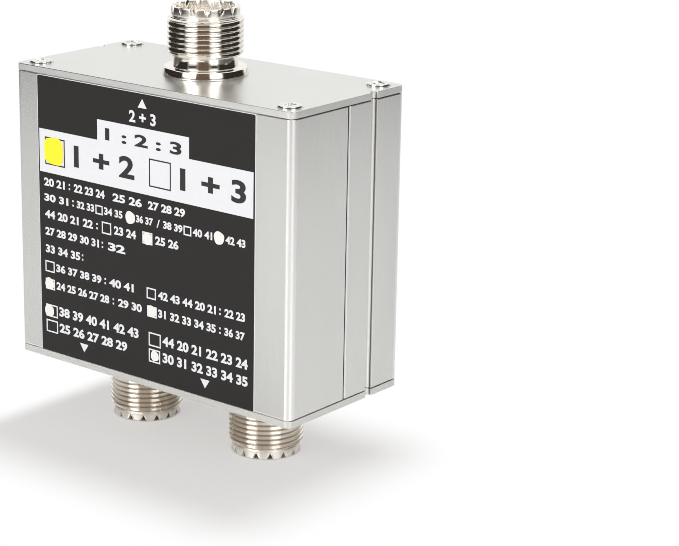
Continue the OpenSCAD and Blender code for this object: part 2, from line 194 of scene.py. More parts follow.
def grain(signal, size, stretch=(1, 1, 1), detail=2.0):
    """Cloudy noise over the object's own coordinates, with patches of about size millimetres."""
    place = signal.node("ShaderNodeTexCoord", output="Object")
    stretched = signal.node("ShaderNodeMapping", {"Vector": place, "Scale": stretch})
    sockets = {"Vector": stretched, "Scale": 1 / (size * MM), "Detail": detail}
    return signal.node("ShaderNodeTexNoise", sockets)


def axis_mm(signal, axis):
    """One of the object's own coordinates, in millimetres."""
    place = signal.node("ShaderNodeTexCoord", output="Object")
    return signal.node("ShaderNodeSeparateXYZ", {0: place}, output=axis) / MM


def near(signal, middle, reach):
    """1 within reach of the middle, and 0 farther away."""
    return 1 - step_up(signal.math("ABSOLUTE", signal - middle), reach, HAIR_RISE)


def bumped(height, depth):
    """A normal that follows a height from 0 to 1, with the given depth in millimetres."""
    return height.node("ShaderNodeBump", {"Height": height, "Distance": depth * MM})


def new_finish(name):
    """An empty material, and a signal that starts its formulas."""
    material = bpy.data.materials.new(name)
    material.use_nodes = True
    material.node_tree.nodes.clear()
    return material, Signal(material.node_tree)


def surface(start, **sockets):
    """Ends a finish with a Principled surface. Underscores in names stand for spaces."""
    named = {key.replace("_", " "): value for key, value in sockets.items()}
    shader = start.node("ShaderNodeBsdfPrincipled", named)
    start.node("ShaderNodeOutputMaterial", {"Surface": shader})


# %% [markdown]
# ## Metal finishes
# The shells are drawn through a die, which leaves faint upright lines under the satin anodising.
# The end plates are cut from sheet, with an even grain. The ports are turned brass with bright
# nickel, slightly warm, and carry fine rings from the tool. One flat grey would make all of these
# look like plastic, so each finish varies its roughness and its normal by the mark of its own
# process. Painted shade keeps the seam, the groove line and the joints under the plates dark.
# Painted light brightens the joints in front and the right-hand corners, the ports' crowns are
# more matt, and painted shade darkens the grooves of their lower threads.

# %% Where the joints are
# Colours of painted light and shade: the first is painted shade for the seam, the groove line, the
# joints, the countersinks and the plates' front edge; the second is painted light for the joints in
# front and the right-hand corners.
PAINTED_SHADE, PAINTED_LIGHT = (0.05, 0.05, 0.048, 1), (0.96, 0.96, 0.945, 1)
shell_low, shell_high = box_mm("front_shell")
label_low, label_high = box_mm("face_label")
seam_edge = shell_high[1]
SEAM_HALF, SEAM_SKIN = 0.45, 0.3
GROOVE_LINE, GROOVE_HALF, GROOVE_SHADE_LEVEL, GROOVE_SKIN = 8.76, 0.045, 0.8, 0.1
LOW_JOINT, HIGH_JOINT, FRONT_SKIN = 0.2, 0.6, 1.0
SHELL_REACH, PLATE_REACH, LIGHT_REACH = 0.03, 0.18, 0.25
joints = shell_low[2].round(1), shell_high[2].round(1)
print("seam at y", seam_edge.round(2), "and joints at z", *joints)


def groove_shade(start):
    """A line of painted shade along the far wall of the groove in the sides."""
    depth = shell_high[0] - start.math("ABSOLUTE", axis_mm(start, "X"))
    on_line = near(axis_mm(start, "Y"), GROOVE_LINE, GROOVE_HALF)
    return GROOVE_SHADE_LEVEL * on_line * step_up(depth, GROOVE_SKIN, CRISP_RISE)


def joint_shade(start, reach):
    """How much painted shade darkens the metal near the shells' ends: little below, more above,
    none in front.
    """
    height = axis_mm(start, "Z")
    below, above = near(height, shell_low[2], reach), near(height, shell_high[2], reach)
    behind = step_up(axis_mm(start, "Y"), shell_low[1] + FRONT_SKIN, SOFT_RISE)
    return (LOW_JOINT * below + HIGH_JOINT * above) * behind


def shade_and_light(start, shade, metal, highlit=0):
    """The metal, darkened by the given painted shade, and brightened by painted light: in front
    along the lower joint, along the upper one over the label, and where highlit."""
    height = axis_mm(start, "Z")
    in_front = 1 - step_up(axis_mm(start, "Y"), shell_low[1] + FRONT_SKIN, SOFT_RISE)
    middle, half = (label_low[0] + label_high[0]) / 2, (label_high[0] - label_low[0]) / 2
    from_middle = start.math("ABSOLUTE", axis_mm(start, "X") - middle)
    over_label = 1 - step_up(from_middle, half, SOFT_RISE)
    below, above = near(height, shell_low[2], LIGHT_REACH), near(height, shell_high[2], LIGHT_REACH)
    bright = clamped(in_front * (below + over_label * above) + highlit)
    return mixed(bright, mixed(clamped(shade), metal, PAINTED_SHADE), PAINTED_LIGHT)


# %% Where the screws are
SCREW_INSET = 3.9
SINK_R, FACE_SKIN = 2.8, 0.1
plate_low, plate_high = box_mm("bottom_plate")[0], box_mm("top_plate")[1]
print("screws at x and y", (plate_high[:2] - SCREW_INSET).round(1), "and their mirror images")


def screw_distance(start):
    """Distance from the nearest screw's axis. The four spots mirror each other."""
    aside = start.math("ABSOLUTE", axis_mm(start, "X")) - (plate_high[0] - SCREW_INSET)
    ahead = start.math("ABSOLUTE", axis_mm(start, "Y")) - (plate_high[1] - SCREW_INSET)
    return start.math("SQRT", aside * aside + ahead * ahead)


def under_face(start):
    """1 below the outer faces of the two end plates, and 0 on them."""
    height = axis_mm(start, "Z")
    over_lower = step_up(height, plate_low[2] + FACE_SKIN, CRISP_RISE)
    return over_lower * step_up(plate_high[2] - height, FACE_SKIN, CRISP_RISE)


# %% Satin extrusion
SATIN = (0.69, 0.69, 0.675, 1), (0.81, 0.81, 0.79, 1)
SATIN_ROUGH, SATIN_RELIEF = 0.23, 0.0012
# The last of these is how much painted highlight lies on the right-hand corners.
CORNER_R, CORNER_RISE, CORNER_ROUGH, CORNER_HIGHLIGHT = 1.5, 0.3, 0.08, 0.6


def drawn_aluminium():
    """Upright die lines, soft clouds and fine speckle, and a painted highlight on the right-hand
    corners.
    """
    material, start = new_finish("drawn_aluminium")
    lines = grain(start, 0.22, (1, 1, 0.004), 3.0)
    clouds = grain(start, 9, (1, 1, 0.35))
    speckle = grain(start, 0.12)
    tone = clamped(0.06 * lines + 0.64 * clouds + 0.3 * speckle)
    metal = mixed(tone, *SATIN)
    # Painted shade darkens the seam, the groove line and the joints, and a painted highlight
    # brightens the right-hand corners.
    depth = shell_high[0] - start.math("ABSOLUTE", axis_mm(start, "X"))
    at_seam = near(axis_mm(start, "Y"), seam_edge, SEAM_HALF)
    in_seam = at_seam * step_up(depth, SEAM_SKIN, CRISP_RISE)
    setback = plate_high[1] - start.math("ABSOLUTE", axis_mm(start, "Y"))
    at_right = step_up(axis_mm(start, "X"), shell_high[0] - CORNER_R, CORNER_RISE)
    in_corner = at_right * (1 - step_up(setback, CORNER_R, CORNER_RISE))
    shade = in_seam + groove_shade(start) + joint_shade(start, SHELL_REACH)
    rough = SATIN_ROUGH + 0.015 * lines + 0.06 * speckle
    surface(
        start,
        Base_Color=shade_and_light(start, shade, metal, CORNER_HIGHLIGHT * in_corner),
        Metallic=1.0,
        Roughness=rough + 0.3 * in_seam + CORNER_ROUGH * in_corner,
        Normal=bumped(0.2 * lines + 0.8 * speckle, SATIN_RELIEF),
    )
    return material


# %% Matt sheet
SHEET = (0.705, 0.705, 0.68, 1), (0.81, 0.81, 0.78, 1)
SHEET_ROUGH, SHEET_RELIEF, SAWN_EDGE = 0.24, 0.006, 0.2
# Width and darkness, from left to right, of the painted shade line along the plate's front edge.
EDGE_LINE, EDGE_SHADE_LEVEL = 0.09, (0.9, 0.3)


def front_edge_shade(start):
    """A line of painted shade along the front edge of the upper plate's face, fading from left to
    right.
    """
    across = (axis_mm(start, "X") - plate_low[0]) / (plate_high[0] - plate_low[0])
    in_front = 1 - step_up(axis_mm(start, "Y"), plate_low[1] + EDGE_LINE, HAIR_RISE)
    at_edge = in_front * near(axis_mm(start, "Z"), plate_high[2], EDGE_LINE)
    return at_edge * (EDGE_SHADE_LEVEL[0] + (EDGE_SHADE_LEVEL[1] - EDGE_SHADE_LEVEL[0]) * across)


def sheet_aluminium():
    """Rolling marks along x, speckle and clouds. The sawn edges are rougher than the faces."""
    material, start = new_finish("sheet_aluminium")
    rolled = grain(start, 0.3, (0.03, 1, 1), 3.0)
    speckle = grain(start, 0.15)
    clouds = grain(start, 11)
    tone = clamped(0.3 * rolled + 0.3 * speckle + 0.4 * clouds)
    metal = mixed(tone, *SHEET)
    # Painted shade: the joints, the countersinks round the screws, the groove line and the front
    # edge line are darkened, and the joints in front get painted light.
    below = under_face(start)
    in_sink = below * (1 - step_up(screw_distance(start), SINK_R, CRISP_RISE))
    in_groove = below * groove_shade(start)
    shade = joint_shade(start, PLATE_REACH) + in_sink + in_groove + front_edge_shade(start)
    surface(
        start,
        Base_Color=shade_and_light(start, shade, metal),
        Metallic=1.0,
        Roughness=SHEET_ROUGH + 0.08 * rolled + 0.08 * speckle + SAWN_EDGE * below,
        Normal=bumped(0.4 * rolled + 0.6 * speckle, SHEET_RELIEF),
    )
    return material


# %% Turned and plated metal
# Colour and strength of the painted shade in the grooves of the lower ports' threads.
THREAD_SHADE_TONE = (0.38, 0.31, 0.24, 1)
THREAD_FLOOR_R, THREAD_RISE, THREAD_SHADE_LEVEL, BORE_R = 7.5, 0.3, 0.55, 7.0
PLATING_RELIEF = 0.0002
MATT_END, TOP_MATT, FOOT_MATT = 2.0, 0.16, 0.32
object_top = cad_box[1][2] / MM
port_x = np.mean([corner[0] for corner in box_mm("high_port_shell")])


def thread_shade(start):
    """How much painted shade lies on the lower ports' threads: 1 in their grooves, and 0 on the
    crests.
    """
    aside = start.math("ABSOLUTE", axis_mm(start, "X")) - port_x
    ahead, height = axis_mm(start, "Y"), axis_mm(start, "Z")
    radius = start.math("SQRT", aside * aside + ahead * ahead)
    above_crown = step_up(height, MATT_END, SOFT_RISE)
    on_barrel = above_crown * (1 - step_up(height, plate_low[2], SOFT_RISE))
    outside = step_up(radius, BORE_R, SOFT_RISE)
    return on_barrel * outside * (1 - step_up(radius, THREAD_FLOOR_R, THREAD_RISE))


def crown_matt(start):
    """How much rougher the ports' crowns are, within MATT_END of the object's top and foot."""
    height = axis_mm(start, "Z")
    at_foot = 1 - step_up(height, MATT_END, SOFT_RISE)
    at_top = step_up(height, object_top - MATT_END - SOFT_RISE, SOFT_RISE)
    return FOOT_MATT * at_foot + TOP_MATT * at_top


def plated_metal(name, dark, light, roughness, on_ports=False):
    """Bright plating over a turned surface: fine rings along the axis and a faint uneven tint. On
    the ports the crowns are more matt, and painted shade darkens the grooves of the lower threads."""
    material, start = new_finish(name)
    rings = grain(start, 0.08, (0.02, 0.02, 1), 2.0)
    tint = grain(start, 2.5)
    wear = grain(start, 0.4)
    plating = mixed(clamped(0.7 * tint + 0.3 * wear), dark, light)
    rough = roughness + 0.03 * rings + 0.04 * wear
    if on_ports:
        plating = mixed(THREAD_SHADE_LEVEL * thread_shade(start), plating, THREAD_SHADE_TONE)
        rough = rough + crown_matt(start)
    relief = bumped(rings, PLATING_RELIEF)
    surface(start, Base_Color=plating, Metallic=1.0, Roughness=rough, Normal=relief)
    return material


# %% The metals
extrusion = drawn_aluminium()
plate_sheet = sheet_aluminium()
nickel = plated_metal("bright_nickel", (0.85, 0.80, 0.73, 1), (0.94, 0.91, 0.85, 1), 0.04, True)
zinc = plated_metal("zinc_plate", (0.74, 0.74, 0.73, 1), (0.88, 0.88, 0.87, 1), 0.12)
tinned = plated_metal("tinned_sheet", (0.50, 0.50, 0.49, 1), (0.66, 0.66, 0.65, 1), 0.3)
pale_gold = plated_metal("pale_gold", (0.74, 0.56, 0.30, 1), (0.86, 0.70, 0.42, 1), 0.14)
solder_grey = plated_metal("solder_grey", (0.48, 0.49, 0.50, 1), (0.66, 0.67, 0.68, 1), 0.22)
metals = [extrusion, plate_sheet, nickel, zinc, tinned, pale_gold, solder_grey]
print("metal finishes", [metal.name for metal in metals])


# %% [markdown]
# ## Plastics, inks and the inner parts
# The label is a semi-matt film with ink laid on it. Inside, the insulators are a milky
# fluoropolymer, the coils are enamelled wire, the discs are dipped in lacquer and the board has
# green resist over copper. The inner pieces are only seen when the case is taken apart, so their
# patterns stay simple.


# %% Film, ink and moulded pieces
def coated(name, dark, light, roughness, patch, depth, coat=0.0, gloss=0.5):
    """A non-metal surface whose tone, gloss and relief wander over patches of the given size."""
    material, start = new_finish(name)
    patches = grain(start, patch, detail=3.0)
    fine = grain(start, patch / 12)
    surface(
        start,
        Base_Color=mixed(clamped(0.6 * patches + 0.4 * fine), dark, light),
        Roughness=roughness + 0.1 * fine,
        Specular_IOR_Level=gloss,
        Coat_Weight=coat,
        Normal=bumped(0.5 * patches + 0.5 * fine, depth),
    )
    return material


label_film = coated(
    "label_film", (0.016, 0.015, 0.014, 1), (0.022, 0.02, 0.019, 1), 0.5, 4, 0.004, gloss=0.25
)
white_ink = coated("white_ink", (0.74, 0.74, 0.755, 1), (0.82, 0.82, 0.835, 1), 0.45, 3, 0.003)
yellow_ink = coated("yellow_ink", (0.94, 0.80, 0.008, 1), (0.98, 0.88, 0.014, 1), 0.4, 2, 0.01)
dark_ink = coated("dark_ink", (0.012, 0.012, 0.012, 1), (0.02, 0.02, 0.02, 1), 0.45, 3, 0.003)
paint_dot = coated("paint_dot", (0.78, 0.77, 0.72, 1), (0.90, 0.89, 0.84, 1), 0.35, 0.8, 0.02)
fluoropolymer = coated("fluoropolymer", (0.78, 0.77, 0.73, 1), (0.88, 0.87, 0.83, 1), 0.4, 2, 0.01)
enamelled_wire = coated(
    "enamelled_wire", (0.42, 0.14, 0.05, 1), (0.60, 0.24, 0.09, 1), 0.25, 1, 0.004, coat=0.6
)
LACQUER = {"roughness": 0.28, "patch": 1.5, "depth": 0.03, "coat": 0.4}
ochre_lacquer = coated("ochre_lacquer", (0.46, 0.22, 0.07, 1), (0.58, 0.31, 0.11, 1), **LACQUER)
blue_lacquer = coated("blue_lacquer", (0.04, 0.12, 0.32, 1), (0.08, 0.2, 0.45, 1), **LACQUER)
inks = [label_film, white_ink, yellow_ink, dark_ink, paint_dot]
print("film and inks", [ink.name for ink in inks])


# %% Board with tracks
TRACK_HALF = 1.6
RESIST = (0.012, 0.10, 0.035, 1), (0.02, 0.14, 0.05, 1)
TRACK_GREEN = (0.05, 0.24, 0.08, 1)


def resist_board():
    """Green resist, with a raised track of copper under each line of parts."""
    material, start = new_finish("resist_board")
    side = start.math("ABSOLUTE", axis_mm(start, "X"))
    off_track = start.math("ABSOLUTE", side - port_x)
    track = 1 - step_up(off_track, TRACK_HALF, SOFT_RISE)
    weave = grain(start, 0.35, detail=1.0)
    green = mixed(weave, *RESIST)
    surface(
        start,
        Base_Color=mixed(track, green, TRACK_GREEN),
        Roughness=0.32 + 0.12 * weave,
        Normal=bumped(track + 0.1 * weave, 0.03),
    )
    return material


board_finish = resist_board()
print("tracks at x", port_x.round(1), "on both sides")

# %% [markdown]
# ## From arrays to pieces
# Every new piece is a grid of points worked out as whole arrays. A helper joins the grid into
# faces, merges the poles and seams, turns all faces outwards and gives the piece its finish and
# its body.


# %% Grid faces and the mesh helper
SHARP_DEGREES = 38
MERGE = 1e-4


def grid_faces(rows, columns, closed_rows):
    """Quads between neighbours of a grid whose columns wrap round. closed_rows also joins the last
    row to the first."""
    row = np.arange(rows if closed_rows else rows - 1)[:, None] * columns
    column = np.arange(columns)[None, :]
    above = (row + columns) % (rows * columns)
    beside = (column + 1) % columns
    corners = [row + column, row + beside, above + beside, above + column]
    return np.stack(np.broadcast_arrays(*corners), -1).reshape(-1, 4)


def finished(piece, material, slot, *nodes):
    """Gives a piece its finish and body, and hides the fixed pieces that it replaces. slot is not
    used.
    """
    piece.data.materials.clear()
    piece.data.materials.append(material)
    bpy.context.scene.collection.objects.link(piece)
    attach(piece, "root")
    if nodes:
        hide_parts(*nodes)
    print(piece.name, len(piece.data.polygons), "faces")
    return piece


def new_piece(name, points, faces, material, slot, *nodes, sharp=SHARP_DEGREES):
    """A piece from points in millimetres, with doubles merged and faces turned outwards."""
    mesh = bpy.data.meshes.new(name)
    places = np.asarray(points).reshape(-1, 3) * MM
    mesh.from_pydata(places.tolist(), [], [list(map(int, face)) for face in faces])
    shape = bmesh.new()
    shape.from_mesh(mesh)
    bmesh.ops.remove_doubles(shape, verts=shape.verts, dist=MERGE * MM)
    bmesh.ops.dissolve_degenerate(shape, edges=shape.edges, dist=MERGE * MM)
    bmesh.ops.recalc_face_normals(shape, faces=shape.faces)
    shape.to_mesh(mesh)
    shape.free()
    mesh.shade_smooth()
    mesh.set_sharp_from_angle(angle=math.radians(sharp))
    return finished(bpy.data.objects.new(name, mesh), material, slot, *nodes)


# %% [markdown]
# ## Case shells and end plates
# Their shapes are right in the fixed model, down to the seam, the groove and the screw channels.
# What is missing is the small rounding that every sawn and deburred edge has, and that draws a
# bright line along it. Building the profile again would only repeat the model, so each piece is
# copied, its loose triangles are merged, and a Bevel modifier rounds its sharp edges.


# %% Rounded copies
FLAT_DEGREES = 1
EDGE_DEGREES = 30
ROUNDING_STEPS = 2
SHELL_EDGES = {"front_shell": 0.1, "rear_shell": 0.2}
PLATE_EDGE = 0.18


def eased_copy(node, name, material, slot, width):
    """A copy of a fixed piece with merged triangles and sharp edges rounded by width."""
    shape = bmesh.new()
    shape.from_mesh(frame["nodes"][node].data)
    bmesh.ops.remove_doubles(shape, verts=shape.verts, dist=MERGE * MM)
    flat = math.radians(FLAT_DEGREES)
    bmesh.ops.dissolve_limit(shape, angle_limit=flat, verts=shape.verts, edges=shape.edges)
    mesh = bpy.data.meshes.new(name)
    shape.to_mesh(mesh)
    shape.free()
    if "custom_normal" in mesh.attributes:
        mesh.attributes.remove(mesh.attributes["custom_normal"])
    mesh.shade_smooth()
    mesh.set_sharp_from_angle(angle=math.radians(EDGE_DEGREES))
    piece = bpy.data.objects.new(name, mesh)
    rounding = piece.modifiers.new("rounded_edges", "BEVEL")
    rounding.width = width * MM
    rounding.segments = ROUNDING_STEPS
    rounding.angle_limit = math.radians(EDGE_DEGREES)
    rounding.harden_normals = True
    return finished(piece, material, slot, node)


for shell, width in SHELL_EDGES.items():
    eased_copy(shell, shell + "_drawn", extrusion, "shell_aluminium", width)
for plate in ("top_plate", "bottom_plate"):
    eased_copy(plate, plate + "_cut", plate_sheet, "plate_aluminium", PLATE_EDGE)

# %% [markdown]
# ## Threaded ports
# Each port shell is turned from one bar: shank, flange, neck, thread and a crown with notches. A
# screw modifier could make the thread, but it can't end in a chamfer or carry the notches. Here
# the whole shell is one surface over the angle and the line of its profile: the thread changes
# the radius of its rows, and the notches lower the rim.

# %% Sizes of a port
flange_r, flange_t = 9.0, 1.7
neck_r, neck_len, neck_draft = 6.8, 2.4, 0.08
thread_r, thread_len, thread_chamfer = 7.9, 8.1, 0.45
thread_pitch = 25.4 / 24
rim_lip, rim_draft = 0.35, 0.28
crown_r, crown_len, crown_relief = 7.15, 2.1, 0.12
mouth_r, mouth_depth = 6.1, 6.0
disc_r, disc_t, stem_r = 5.9, 3.0, 4.2
shank_r, shank_len = 5.5, 6.0
shank_pitch, shank_thread_depth = 1.0, 0.35
notch_count, notch_w, notch_depth = 15, 1.25, 1.3
corner_ease = 0.22
thread_z = flange_t + neck_len
crown_z = thread_z + thread_len
port_h = crown_z + crown_len
face_z = port_h - mouth_depth
print("a port stands", round(port_h, 2), "mm out of its plate")


# %% Formulas of a turned piece
THREAD_FLOOR, FLANK_ROUNDING, CONE_RISE = 0.03, 0.3, 1.6
ROWS = 12
MOST_OF_SIDE = 0.45


def eased(corners, ease, steps=4):
    """Rounds a line of corners: each becomes a parabola that reaches ease along its sides."""
    to_last = np.roll(corners, 1, 0) - corners
    to_next = np.roll(corners, -1, 0) - corners
    reach = [np.linalg.norm(side, axis=1, keepdims=True) for side in (to_last, to_next)]
    start = corners + to_last * np.minimum(ease / reach[0], MOST_OF_SIDE)
    end = corners + to_next * np.minimum(ease / reach[1], MOST_OF_SIDE)
    t = np.linspace(0, 1, steps)[None, :, None]
    ends = (1 - t) ** 2 * start[:, None] + t**2 * end[:, None]
    curve = ends + 2 * t * (1 - t) * corners[:, None]
    return curve.reshape(-1, corners.shape[1])


def thread_profile(pitch, depth, shoulder, crest_fall):
    """One pitch of a 60 degree thread, as shares of the pitch and losses of radius: up one flank,
    over the crest, which may fall a little, and down the other. The last share of a flank can be a
    shoulder of 45 degrees. Without one, some of an S curve rounds the corners."""
    rise = np.linspace(0, 1, ROWS // 2)
    on_shoulder = np.maximum(rise - (1 - shoulder), 0)
    run = on_shoulder + math.tan(math.radians(30)) * (rise - on_shoulder)
    share = (THREAD_FLOOR + depth * run) / pitch
    rounding = 0 if shoulder else FLANK_ROUNDING
    lost = depth * (1 - rise - rounding * (rise**2 * (3 - 2 * rise) - rise))
    down = np.maximum(lost, crest_fall)[::-1]
    return np.concatenate([share, 1 - share[::-1]]), np.concatenate([lost, down])


def threaded(angle, start, end, crest_r, pitch, chamfer, depth, shoulder=0.0, crest_fall=0.0):
    """Rows that climb with a thread, one pitch in a full turn. Rows outside its ends are held
    there, and a cone cuts the radius at both ends."""
    share, lost = thread_profile(pitch, depth, shoulder, crest_fall)
    count = math.ceil((end - start) / pitch) + 1
    turns = (np.arange(count)[:, None] + share).reshape(-1, 1)
    climb = (angle - angle[0]) / (2 * np.pi) - 1
    height = np.clip(start + (turns + climb) * pitch, start, end)
    cone = crest_r - chamfer + CONE_RISE * np.minimum(height - start, end - height)
    return np.minimum(crest_r - np.tile(lost, count)[:, None], cone), height


def seam_climb(faces, first, last):
    """Joins the last column of a thread to its first, where the same line lies ROWS rows higher."""
    columns = faces.shape[1]
    seam = faces[first:last, -1]
    seam[:, 1:3] = np.minimum(seam[:, 1:3] + ROWS * columns, last * columns)


def revolved(rows, angle, threads, closed):
    """Points and faces of a turned piece from its groups of rows, some of which are threads."""
    radius, height = (np.concatenate(part) for part in zip(*rows))
    ends = np.cumsum([len(group[0]) for group in rows])
    faces = grid_faces(*radius.shape, closed_rows=closed)
    faces = faces.reshape(-1, len(angle), 4)
    for group in threads:
        seam_climb(faces, ends[group - 1], ends[group] - 1)
    return turned(radius, height, angle), faces.reshape(-1, 4)


def turned(radius, height, angle):
    """A point of the profile turned about the axis: x = r cos a, y = r sin a, z = h."""
    return np.stack([radius * np.cos(angle), radius * np.sin(angle), height], -1)


# %% Columns of a port, closer together at the notches
NOTCH_COLUMNS, TOOTH_COLUMNS = 9, 7
notch_half = notch_w / 2 / ((crown_r + mouth_r) / 2)
notch_step = 2 * np.pi / notch_count
in_notch = np.linspace(-notch_half, notch_half, NOTCH_COLUMNS)
between = np.linspace(notch_half, notch_step - notch_half, TOOTH_COLUMNS)[1:-1]
one_step = np.concatenate([in_notch, between])
port_angle = (np.arange(notch_count)[:, None] * notch_step + one_step).ravel()
one_drop = notch_depth * np.clip(1 - np.abs(one_step) / notch_half, 0, 1)
notch_drop = np.tile(one_drop, notch_count)
print("a port has", len(port_angle), "columns")


# %% Rows of a port, and its surface
port_corners = np.array([
    # radius, height, share of the notch that the corner follows
    (stem_r, -shank_len, 0),
    (shank_r - shank_thread_depth, -shank_len, 0),
    (shank_r - shank_thread_depth, 0, 0),
    (flange_r, 0, 0),
    (flange_r, rim_lip, 0),
    (flange_r - rim_draft, flange_t, 0),
    (neck_r + neck_draft, flange_t, 0),
    (neck_r - neck_draft, thread_z, 0),
    (thread_r - thread_chamfer, thread_z, 0),
    (thread_r - thread_chamfer, crown_z, 0),
    (crown_r - crown_relief, crown_z, 0),
    (crown_r - crown_relief, crown_z + 2 * crown_relief, 0),
    (crown_r, crown_z + 3 * crown_relief, 0),
    (crown_r, port_h, 1),
    (mouth_r, port_h, 1),
    (mouth_r, face_z, 0),
    (disc_r, face_z, 0),
    (disc_r, face_z - disc_t, 0),
    (stem_r, face_z - disc_t, 0),
])
PORT_THREADS = {
    # the corner that a thread follows: its start and end, then crest, pitch and end cones
    1: (-shank_len + corner_ease, -corner_ease, shank_r, shank_pitch, shank_thread_depth),
    8: (thread_z + corner_ease, crown_z - corner_ease, thread_r, thread_pitch, thread_chamfer),
}
SOFT_DEGREES = 40


def port_grid(turn, profile):
    """Points and faces of a port shell with z = 0 on its plate: rows along the profile, and columns
    round the axis."""
    corner_rows = eased(port_corners, corner_ease).reshape(len(port_corners), -1, 3)
    angle = port_angle + turn
    profiles = {1: (shank_thread_depth,), 8: profile}
    rows, threads = [], []
    for number, corner in enumerate(corner_rows):
        rows.append((corner[:, :1] + 0 * angle, corner[:, 1:2] - corner[:, 2:] * notch_drop))
        if number in PORT_THREADS:
            threads.append(len(rows))
            rows.append(threaded(angle, *PORT_THREADS[number], *profiles[number]))
    return revolved(rows, angle, threads, closed=True)


# %% Three ports: the lower two are turned over, which keeps their thread right-handed
NOTCH_TURN = {"antenna": 2.2, "low": 18.3, "high": 5.0}
# depth of the thread, share of shoulders, fall of the crest
TOP_THREAD, LOWER_THREAD = (0.32, 0.4, 0.04), (0.42, 0, 0)
UPSIDE_DOWN = np.array([1, -1, -1])
for port, turn in NOTCH_TURN.items():
    node = port + "_port_shell"
    low, high = box_mm(node)
    is_top = port == "antenna"
    profile = TOP_THREAD if is_top else LOWER_THREAD
    points, faces = port_grid(math.radians(turn if is_top else -turn), profile)
    place = [(low[0] + high[0]) / 2, 0, plate_high[2] if is_top else plate_low[2]]
    points = points * (1 if is_top else UPSIDE_DOWN) + place
    name = port + "_port_threaded"
    new_piece(name, points, faces, nickel, "port_nickel", node, sharp=SOFT_DEGREES)

# %% [markdown]
# ## Countersunk screws
# Eight small screws hold the plates. Their heads sit in countersinks, stand a little proud and
# have a cross recess. A boolean cut would leave poor triangles on such a small head, so the head
# is a height over a polar grid: the recess formula simply lowers it. The shank reuses the thread
# formula of the ports.

# %% Sizes and recess of a screw
screw_r, screw_head_r, screw_len = 1.5, 2.6, 9.0
screw_pitch, screw_thread_depth = 0.5, 0.3
screw_head_h = screw_head_r - screw_r
edge_r, edge_h, edge_draft, edge_round, crown_h = 2.55, 0.26, 0.1, 0.2, 0.08
recess_reach, recess_half, recess_depth, recess_wall = 1.6, 0.42, 0.6, 0.1
arm_width, arm_taper, floor_rise, end_walls = 1.1, 0.4, 0.35, 3
SCREW_COLUMNS, HEAD_ROWS, EDGE_ARC = 96, 30, (15, 40, 65)


def recess(x, y):
    """Depth of a cross recess: two arms with steep walls, narrower and shallower outwards."""
    along = np.maximum(np.abs(x), np.abs(y))
    across = np.minimum(np.abs(x), np.abs(y))
    half = recess_half * (arm_width - arm_taper * along / recess_reach)
    wall = np.clip((half - across) / recess_wall, 0, 1)
    end = np.clip((recess_reach - along) / (end_walls * recess_wall), 0, 1)
    return recess_depth * wall * end * (1 - floor_rise * along / recess_reach)


def screw_grid(turn):
    """Points and faces of a screw, from the tip's pole to the head's middle. z = 0 is the plate."""
    angle = np.linspace(0, 2 * np.pi, SCREW_COLUMNS, endpoint=False)
    ones = np.ones((1, SCREW_COLUMNS))
    depths = screw_thread_depth, screw_thread_depth
    shank = (-screw_len, -screw_head_h, screw_r, screw_pitch, *depths)
    cone = [(screw_r, -screw_head_h), (edge_r, screw_r - edge_r), (edge_r - edge_draft, edge_h)]
    arc = np.radians(EDGE_ARC)
    flat_r, flat_h = edge_r - edge_draft - edge_round, edge_h + edge_round
    rounded = np.array([flat_r, edge_h]) + edge_round * np.column_stack([np.cos(arc), np.sin(arc)])
    head = np.vstack([cone, rounded])
    top_r = np.linspace(flat_r, 0, HEAD_ROWS)[:, None] * ones
    top_z = flat_h + crown_h * (1 - (top_r / edge_r) ** 2)
    top_z = top_z - recess(*np.moveaxis(turned(top_r, 0 * top_r, angle), -1, 0)[:2])
    rows = [
        (0 * ones, -screw_len * ones),
        threaded(angle, *shank),
        (head[:, :1] * ones, head[:, 1:] * ones),
        (top_r, top_z),
    ]
    return revolved(rows, angle + turn, [1], closed=False)


# %% Two groups of four screws
SCREW_TURNS = np.radians([20, 64, 38, 5])
PLATES = {"top_plate": (1, plate_high[2]), "bottom_plate": (UPSIDE_DOWN, plate_low[2])}
for plate, (flip, face) in PLATES.items():
    low, high = box_mm(plate)
    spots = [
        (x, y, face)
        for x in (low[0] + SCREW_INSET, high[0] - SCREW_INSET)
        for y in (low[1] + SCREW_INSET, high[1] - SCREW_INSET)
    ]
    grids = [screw_grid(turn) for turn in SCREW_TURNS]
    group = np.stack([points * flip + spot for (points, faces), spot in zip(grids, spots)])
    count = group[0].size // 3
    numbered = [faces + number * count for number, (points, faces) in enumerate(grids)]
    faces = np.concatenate(numbered)
    new_piece(plate + "_screws_cut", group, faces, zinc, "screw_steel", plate + "_screws")

# %% [markdown]
# ## Printed label
# The label is a black film on a white base, which shows as a thin margin. It has a white band,
# check boxes, small arrows at the ports and rows of figures. A picture could be mapped on it, but
# drawn shapes stay sharp at any distance. Each ink is a set of thin solids just above the film.
# The figures are plain numbers: the ports are numbered 1 to 3.

# %% Places on the label
label_w = label_high[0] - label_low[0]
label_h = label_high[2] - label_low[2]
INK = 0.03
print("label", round(float(label_w), 1), "x", round(float(label_h), 1), "mm")


def on_label(points, layer):
    """Moves points (u across, v up, w outwards) from the label's own plane to the case's front."""
    u, v, w = np.moveaxis(np.asarray(points, float), -1, 0)
    return np.stack([label_low[0] + u, label_low[1] - layer * INK - w, label_low[2] + v], -1)


# %% An ink as thin solids
BLOB_POINTS = 40


